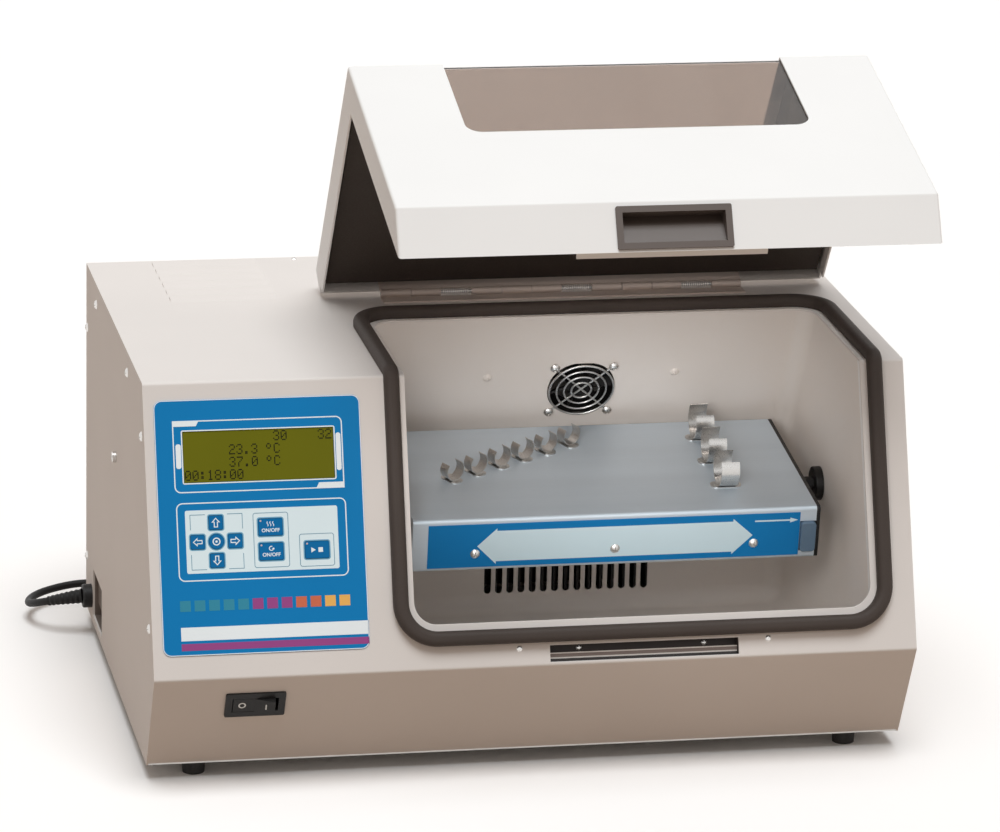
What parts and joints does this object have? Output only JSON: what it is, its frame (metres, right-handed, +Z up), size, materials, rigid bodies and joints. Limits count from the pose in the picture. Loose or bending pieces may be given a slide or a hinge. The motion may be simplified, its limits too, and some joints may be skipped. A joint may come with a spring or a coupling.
{
  "type": "benchtop incubator with tube mixer",
  "caption": "Benchtop incubator with a sloping control panel, a hinged windowed lid and a warm chamber where a platform with spring clips turns tubes end over end.",
  "frame": {"origin": "middle of the outline on the table, under the feet, without the mains cord", "axes": "+X to the user's right along the front, +Y to the back, +Z up"},
  "size_m": [0.6641, 0.6538, 0.5382],
  "materials": {
    "cabinet_paint": "fine textured powder coat",
    "zinc_plate": "zinc plated",
    "foot_rubber": "matte",
    "screw_steel": "satin",
    "liner_satin": "satin",
    "foam": "open cell foam",
    "gasket_rubber": "matte",
    "hinge_steel": "satin",
    "spring_steel": "bright",
    "lid_paint": "fine textured powder coat",
    "lid_lining": "matte",
    "window_acrylic": "smoky clear",
    "taupe_plastic": "moulded",
    "magnet_steel": "satin",
    "overlay_film": "satin printed film",
    "display_glass": "clear",
    "circuit_board": "lacquered",
    "key_plastic": "satin",
    "black_plastic": "moulded",
    "platform_aluminium": "anodised",
    "cord_rubber": "matte"
  },
  "bodies": {
    "cabinet": {"front_wrap": "cabinet_paint", "left_panel": "cabinet_paint", "right_panel": "cabinet_paint", "rear_panel": "cabinet_paint", "base_plate": "zinc_plate", "catch_channel": "zinc_plate", "feet": "foot_rubber", "panel_screws": "screw_steel", "fan_screws": "screw_steel", "liner_screws": "screw_steel", "chamber_liner": "liner_satin", "insulation": "foam", "opening_gasket": "gasket_rubber", "hinge_fixed_leaf": "hinge_steel", "pivot_stub": "hinge_steel", "hinge_pin": "spring_steel", "hinge_springs": "spring_steel", "fan_guard": "spring_steel", "catch_magnet": "magnet_steel", "control_overlay": "overlay_film", "lcd_module": "display_glass", "key_board": "circuit_board", "control_board": "circuit_board", "switch_bezel": "black_plastic", "inlet_box": "black_plastic", "cord_grip": "black_plastic", "side_jack": "black_plastic", "fan_frame": "black_plastic", "heater_core": "platform_aluminium", "power_supply": "platform_aluminium", "gear_motor": "platform_aluminium", "cord_lead": "cord_rubber", "cord_coil": "cord_rubber", "mains_plug": "cord_rubber"},
    "lid": {"lid_shell": "lid_paint", "lid_lining": "lid_lining", "lid_window": "window_acrylic", "lid_handle": "taupe_plastic", "lid_strike": "hinge_steel", "hinge_moving_leaf": "hinge_steel"},
    "drive": {"drive_shaft": "hinge_steel"},
    "platform": {"platform_tray": "platform_aluminium", "platform_end_plate": "black_plastic", "platform_label": "overlay_film", "label_screws": "screw_steel", "small_clips": "spring_steel", "large_clips": "spring_steel"},
    "lever": {"release_lever": "taupe_plastic"},
    "fan": {"fan_rotor": "black_plastic"},
    "rocker": {"switch_rocker": "black_plastic"},
    "key_up_cap": {"key_up": "key_plastic"},
    "key_left_cap": {"key_left": "key_plastic"},
    "key_right_cap": {"key_right": "key_plastic"},
    "key_down_cap": {"key_down": "key_plastic"},
    "key_enter_cap": {"key_enter": "key_plastic"},
    "key_heat_cap": {"key_heat": "key_plastic"},
    "key_mix_cap": {"key_mix": "key_plastic"},
    "key_start_cap": {"key_start": "key_plastic"}
  },
  "joints": [
    {"name": "lid_hinge", "type": "hinge", "parent": "cabinet", "child": "lid", "pos_m": [0.07682, 0.10951, 0.3193], "axis": [1, 0, 0], "range_deg": [-12, 55.17]},
    {"name": "drive_spin", "type": "hinge", "parent": "cabinet", "child": "drive", "pos_m": [0.27292, -0.01249, 0.181], "axis": [1, 0, 0], "continuous": true},
    {"name": "platform_slide", "type": "slide", "parent": "drive", "child": "platform", "axis": [1, 0, 0], "range_m": [-0.01, 0]},
    {"name": "lever_press", "type": "slide", "parent": "platform", "child": "lever", "axis": [0, 0.9917, 0.1288], "range_m": [0, 0.003], "stiffness_N_per_m": 600},
    {"name": "fan_spin", "type": "hinge", "parent": "cabinet", "child": "fan", "pos_m": [0.08792, 0.08114, 0.24596], "axis": [0, -0.8906, -0.4548], "continuous": true},
    {"name": "rocker_tip", "type": "hinge", "parent": "cabinet", "child": "rocker", "pos_m": [-0.22098, -0.17908, 0.07418], "axis": [0, -0.4587, 0.8886], "range_deg": [0, 18]},
    {"name": "key_up_press", "type": "slide", "parent": "cabinet", "child": "key_up_cap", "axis": [0, 0.9388, -0.3445], "range_m": [0, 0.0005], "stiffness_N_per_m": 800},
    {"name": "key_left_press", "type": "slide", "parent": "cabinet", "child": "key_left_cap", "axis": [0, 0.9388, -0.3445], "range_m": [0, 0.0005], "stiffness_N_per_m": 800},
    {"name": "key_right_press", "type": "slide", "parent": "cabinet", "child": "key_right_cap", "axis": [0, 0.9388, -0.3445], "range_m": [0, 0.0005], "stiffness_N_per_m": 800},
    {"name": "key_down_press", "type": "slide", "parent": "cabinet", "child": "key_down_cap", "axis": [0, 0.9388, -0.3445], "range_m": [0, 0.0005], "stiffness_N_per_m": 800},
    {"name": "key_enter_press", "type": "slide", "parent": "cabinet", "child": "key_enter_cap", "axis": [0, 0.9388, -0.3445], "range_m": [0, 0.0005], "stiffness_N_per_m": 800},
    {"name": "key_heat_press", "type": "slide", "parent": "cabinet", "child": "key_heat_cap", "axis": [0, 0.9388, -0.3445], "range_m": [0, 0.0005], "stiffness_N_per_m": 800},
    {"name": "key_mix_press", "type": "slide", "parent": "cabinet", "child": "key_mix_cap", "axis": [0, 0.9388, -0.3445], "range_m": [0, 0.0005], "stiffness_N_per_m": 800},
    {"name": "key_start_press", "type": "slide", "parent": "cabinet", "child": "key_start_cap", "axis": [0, 0.9388, -0.3445], "range_m": [0, 0.0005], "stiffness_N_per_m": 800}
  ]
}
